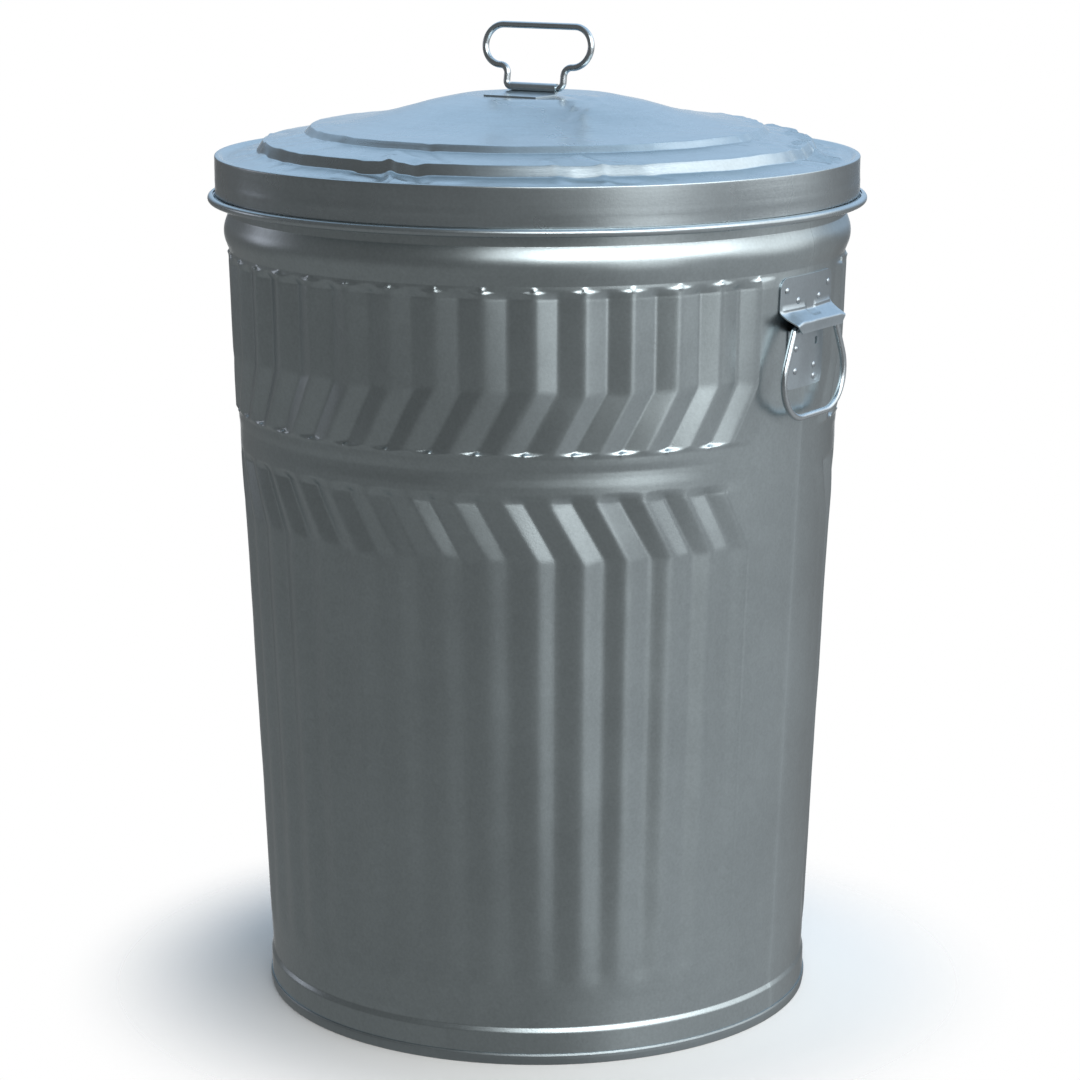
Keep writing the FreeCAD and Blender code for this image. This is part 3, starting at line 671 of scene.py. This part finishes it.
def hood_grid():
    """Outside of the right-hand plate and hood, a little bent by use."""
    near, far = hood_section(HOOD_PLATE), hood_section(HOOD_PLATE - FAR_PLATE)
    drop = HOOD_TOP - HOOD_CORNER - near[:, 1]
    rounding = np.sqrt(np.clip(HOOD_CORNER ** 2 - drop ** 2, 0, None)) - HOOD_CORNER
    half = ramp(near[:, 1], ((HOOD_LIP_LOW, HOOD_LIP_LOW_HALF), (HOOD_LIP_TOP, HOOD_LIP_HALF),
                             (HOOD_ROOT, HOOD_HALF)))
    half = half + np.where(drop < 0, rounding, 0)
    across = half[:, None] * np.linspace(-1, 1, 81)[None, :]
    aside = np.abs(across)
    lean = np.clip((near[:, 1] - HOOD_ROOT) * PLATE_LEAN, 0, None)[:, None]
    sink = (HOOD_PLATE - np.sqrt(HOOD_PLATE ** 2 - across ** 2)) / FAR_PLATE
    out = near[:, :1] + (far - near)[:, :1] * sink
    up = near[:, 1:] + (far - near)[:, 1:] * sink
    beside = smooth_step(aside, *RIDGE_BESIDE) * (1 - smooth_step(aside, *RIDGE_ENDS))
    ridge = RIDGE_HEIGHT * beside * np.exp(-((up - HOOD_ROOT - RIDGE_ABOVE) / RIDGE_HALF) ** 2)
    notch = (1 - smooth_step(aside, *NOTCH_SIDE)) * (1 - smooth_step(up, *NOTCH_TOP))
    notch = NOTCH_DEPTH * notch * smooth_step(up, *NOTCH_FOOT)
    hang = (1 - smooth_step(up, *HANG_TOP)) * smooth_step(aside, *HANG_SIDE)
    on_slope = smooth_step(up, *SLOPE_FOOT) * (1 - smooth_step(up, *SLOPE_TOP))
    waves = np.array([[wobble(a, b, 0, *SLOPE_WAVES) for a, b in zip(*row)]
                      for row in zip(across, up)])
    out = out + lean + ridge
    up = up + 0.5 * ridge - notch - HANG_DROP * hang + 0.5 * waves * on_slope
    return np.stack([out, across, up], axis=-1)


def make_hoods():
    """Plate and hood over each side handle."""
    outer = hood_grid()
    normal = np.cross(np.gradient(outer, axis=1), np.gradient(outer, axis=0))
    normal /= np.linalg.norm(normal, axis=2)[:, :, None]
    inner = outer + PLATE_SHEET * normal
    for side, name in ((1, "right"), (-1, "left")):
        turned = np.array([side, side, 1.0])
        piece = sheet_piece("hood_" + name, outer[::-1] * turned, inner[::-1] * turned, "can",
                            PLATE_STEEL)
        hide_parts("handle_hood_" + name)


# ---------------------------------------------------------------- carried-over nodes

NODE_FINISH = {
    "body_rim_wire": WIRE_STEEL,
    "lid_rim_wire": WIRE_STEEL,
    "lid_handle_wire": WIRE_STEEL,
    "lid_handle_strap": PLATE_STEEL,
    "handle_clip": PLATE_STEEL,
    "handle_rivets": RIVET_STEEL,
}
FLAT_KINDS = ("handle_clip", "lid_handle_strap")
WORN_EDGE = 0.25
WORN_EDGE_ANGLE = 40.0


def finish_nodes():
    """Give the nodes that are shown as packed their steel, and a worn edge to the flat ones."""
    for name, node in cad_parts.items():
        kind = name.removesuffix("_right").removesuffix("_left")
        if kind in NODE_FINISH:
            node.data.materials.clear()
            node.data.materials.append(NODE_FINISH[kind])
        if kind in FLAT_KINDS:
            edge = node.modifiers.new("worn_edge", "BEVEL")
            edge.width = WORN_EDGE * MM
            edge.segments = 2
            edge.limit_method = "ANGLE"
            edge.angle_limit = math.radians(WORN_EDGE_ANGLE)


# ---------------------------------------------------------------- stage, light and camera

CAMERA_TURN = 32.3              # degrees round the can from -Y towards +X
CAMERA_DOWN = 12.359            # degrees
CAMERA_PLACE = (1440.2, -2274.0, 969.3)
CAMERA_LENS = 108.98            # this and the sensor in millimetres of the camera's own
SENSOR = 36.0

# the studio's light: levels near the ground and the horizon, then soft round glows, each with its
# azimuth from the camera's side, elevation, full and outer angle in degrees, and colour
GROUND_BELOW = -20.0
HORIZON_FROM = -4.0
GROUND_LEVEL = 0.217
HORIZON_LEVEL = 0.14
GLOWS = ((85, -15, 20, 72, (0.22, 0.22, 0.23)),
         (6, 32, 8, 22, (3.1, 3.1, 3.1)),
         (32, 29, 8, 24, (3.0, 3.0, 3.0)),
         (60, 28, 8, 24, (2.2, 2.2, 2.2)),
         (95, 26, 10, 38, (1.2, 1.2, 1.2)),
         (38, 0, 6, 19, (0.76, 0.76, 0.76)),
         (-119, 7, 4, 12, (0.85, 0.82, 0.92)),
         (50, 62, 12, 44, (0.28, 0.38, 0.48)),
         (168, 45, 30, 57, (0.48, 0.68, 0.92)))
BACKDROP_DIP = -0.2             # the backdrop seen in reflections: its slope and its edge
BACKDROP_EDGE = 0.985
FLOOR_REACH = 0.42              # metres
FLOOR_SOLID = 0.6               # share of the reach where the floor starts to fade
FLOOR_RINGS = (FLOOR_REACH / MM, 300.0, 1.0)
FLOOR_SIDES = 48
FLOOR_COLOUR = (0.88, 0.85, 0.81, 1)
FLOOR_ROUGHNESS = 0.9


def make_camera():
    """The camera of the photograph."""
    data = bpy.data.cameras.new("camera")
    data.lens = CAMERA_LENS
    data.sensor_width = SENSOR
    camera = bpy.data.objects.new("camera", data)
    camera.location = Vector(CAMERA_PLACE) * MM
    camera.rotation_euler = (math.radians(90 - CAMERA_DOWN), 0, math.radians(CAMERA_TURN))
    bpy.context.scene.collection.objects.link(camera)
    bpy.context.scene.camera = camera


def make_world():
    """Studio round the can: dim on the left, a large soft light on the right, pale sky behind."""
    world = bpy.data.worlds.new("studio")
    bpy.context.scene.world = world
    world.use_nodes = True
    nodes, links = world.node_tree.nodes, world.node_tree.links
    shader = nodes["Background"]
    place = nodes.new("ShaderNodeTexCoord")
    split = nodes.new("ShaderNodeSeparateXYZ")
    links.new(place.outputs["Generated"], split.inputs[0])
    base = nodes.new("ShaderNodeMapRange")
    base.inputs["From Min"].default_value = math.sin(math.radians(GROUND_BELOW))
    base.inputs["From Max"].default_value = math.sin(math.radians(HORIZON_FROM))
    base.inputs["To Min"].default_value = GROUND_LEVEL
    base.inputs["To Max"].default_value = HORIZON_LEVEL
    links.new(split.outputs["Z"], base.inputs["Value"])
    total = base.outputs[0]
    for azimuth, elevation, inner, outer, colour in GLOWS:
        turn = math.radians(CAMERA_TURN + azimuth)
        lift = math.radians(elevation)
        near = nodes.new("ShaderNodeVectorMath")
        near.operation = "DOT_PRODUCT"
        near.inputs[1].default_value = (math.sin(turn) * math.cos(lift),
                                        -math.cos(turn) * math.cos(lift), math.sin(lift))
        links.new(place.outputs["Generated"], near.inputs[0])
        fade = nodes.new("ShaderNodeMapRange")
        fade.interpolation_type = "SMOOTHSTEP"
        fade.inputs["From Min"].default_value = math.cos(math.radians(outer))
        fade.inputs["From Max"].default_value = math.cos(math.radians(inner))
        links.new(near.outputs["Value"], fade.inputs["Value"])
        glow = nodes.new("ShaderNodeVectorMath")
        glow.operation = "MULTIPLY_ADD"
        glow.inputs[1].default_value = colour
        links.new(fade.outputs[0], glow.inputs[0])
        links.new(total, glow.inputs[2])
        total = glow.outputs[0]
    path = nodes.new("ShaderNodeLightPath")
    behind = nodes.new("ShaderNodeVectorMath")
    behind.operation = "DOT_PRODUCT"
    turn = math.radians(CAMERA_TURN + 180)
    behind.inputs[1].default_value = (math.sin(turn), -math.cos(turn), BACKDROP_DIP)
    links.new(place.outputs["Generated"], behind.inputs[0])
    mask = nodes.new("ShaderNodeMath")
    mask.operation = "GREATER_THAN"
    mask.inputs[1].default_value = BACKDROP_EDGE
    links.new(behind.outputs["Value"], mask.inputs[0])
    shown = nodes.new("ShaderNodeMath")
    shown.operation = "MAXIMUM"
    links.new(path.outputs["Is Glossy Ray"], shown.inputs[0])
    links.new(path.outputs["Is Transmission Ray"], shown.inputs[1])
    masked = nodes.new("ShaderNodeMath")
    masked.operation = "MULTIPLY_ADD"
    masked.use_clamp = True
    links.new(shown.outputs[0], masked.inputs[0])
    links.new(mask.outputs[0], masked.inputs[1])
    links.new(path.outputs["Is Camera Ray"], masked.inputs[2])
    seen = nodes.new("ShaderNodeMix")
    seen.data_type = "RGBA"
    seen.inputs[7].default_value = (1, 1, 1, 1)
    links.new(masked.outputs[0], seen.inputs[0])
    links.new(total, seen.inputs[6])
    links.new(seen.outputs[2], shader.inputs["Color"])


def make_floor():
    """Plain pale floor under the can, which fades into the white backdrop."""
    material = bpy.data.materials.new("floor")
    material.use_nodes = True
    nodes, links = material.node_tree.nodes, material.node_tree.links
    shader = nodes["Principled BSDF"]
    shader.inputs["Base Color"].default_value = FLOOR_COLOUR
    shader.inputs["Roughness"].default_value = FLOOR_ROUGHNESS
    place = nodes.new("ShaderNodeTexCoord")
    reach = nodes.new("ShaderNodeVectorMath")
    reach.operation = "LENGTH"
    links.new(place.outputs["Object"], reach.inputs[0])
    fade = nodes.new("ShaderNodeMapRange")
    fade.interpolation_type = "SMOOTHSTEP"
    fade.inputs["From Min"].default_value = FLOOR_REACH * FLOOR_SOLID
    fade.inputs["From Max"].default_value = FLOOR_REACH
    fade.inputs["To Min"].default_value = 1
    fade.inputs["To Max"].default_value = 0
    links.new(reach.outputs["Value"], fade.inputs["Value"])
    links.new(fade.outputs[0], shader.inputs["Alpha"])
    rings = np.array([[r, 0.0] for r in FLOOR_RINGS])
    angles = np.linspace(0, 360, FLOOR_SIDES, endpoint=False)
    floor = grid_mesh("floor", revolve(rings, angles), None, material)
    floor.visible_glossy = False


make_wall()
make_lid()
make_pan()
make_bails()
make_hoods()
finish_nodes()
make_floor()
make_camera()
make_world()
bpy.context.scene.view_settings.view_transform = "Standard"
